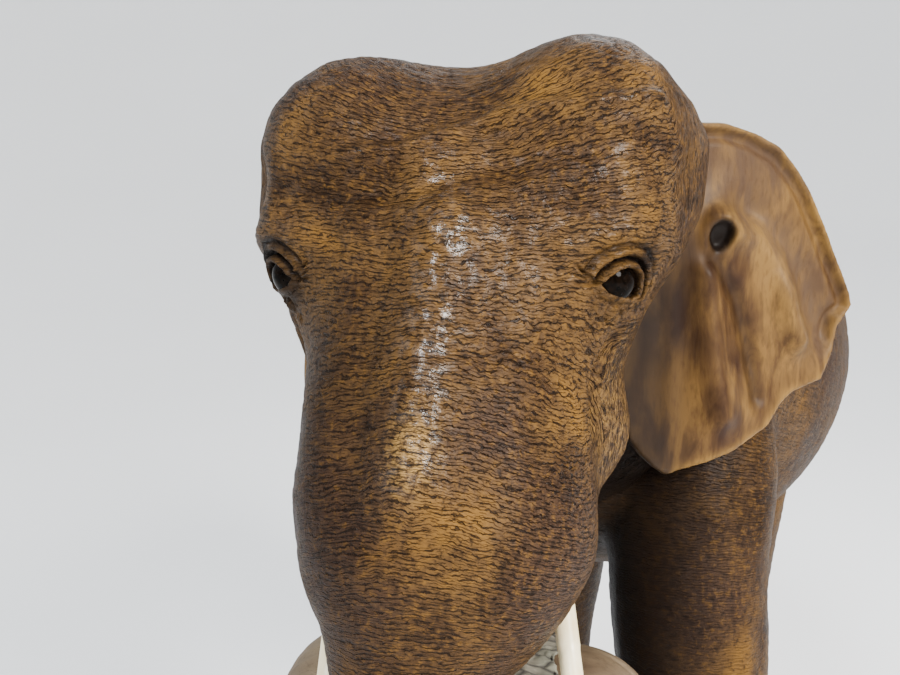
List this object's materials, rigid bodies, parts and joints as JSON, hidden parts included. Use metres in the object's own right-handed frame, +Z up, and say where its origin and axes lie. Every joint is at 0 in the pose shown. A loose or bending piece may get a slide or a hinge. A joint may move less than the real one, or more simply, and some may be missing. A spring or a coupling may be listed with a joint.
{
  "type": "carved wooden elephant figurine",
  "caption": "Carved wooden elephant standing with its head turned, slim tusks, glass eyes, and a short log held in the curl of its trunk.",
  "frame": {"origin": "on the ground, below the middle of the whole elephant from tusk tips to tail", "axes": "the elephant faces -Y, its own left side is +X, +Z is up"},
  "size_m": [0.1738, 0.3781, 0.353],
  "materials": {
    "carved_wood": "dark stained hardwood, chisel textured and thinly varnished",
    "ear_wood": "smooth sanded and oiled hardwood, golden brown",
    "tusk": "polished cream bone-coloured rod",
    "eye": "very dark brown polished glass",
    "eye_backing": "dark paint layer behind the glass",
    "log": "peeled log, dull and weathered",
    "bark": "rough grey-green bark",
    "peg": "plain dowel"
  },
  "bodies": {
    "carving": {"body": "carved_wood", "head": "carved_wood", "left_ear": "ear_wood", "right_ear": "ear_wood", "left_eye": "eye", "right_eye": "eye", "left_eye_backing": "eye_backing", "right_eye_backing": "eye_backing", "tail": "carved_wood", "log": "log", "bark": "bark", "neck_peg": "peg", "left_ear_peg_upper": "peg", "left_ear_peg_lower": "peg", "right_ear_peg_upper": "peg", "right_ear_peg_lower": "peg", "tail_peg": "peg", "log_peg": "peg"},
    "left_tusk_body": {"left_tusk": "tusk"},
    "right_tusk_body": {"right_tusk": "tusk"}
  },
  "joints": [
    {"name": "left_tusk_slide", "type": "slide", "parent": "carving", "child": "left_tusk_body", "axis": [0.2727, -0.4987, -0.8228], "range_m": [0, 0.018]},
    {"name": "right_tusk_slide", "type": "slide", "parent": "carving", "child": "right_tusk_body", "axis": [0.1361, -0.528, -0.8383], "range_m": [0, 0.018]}
  ]
}
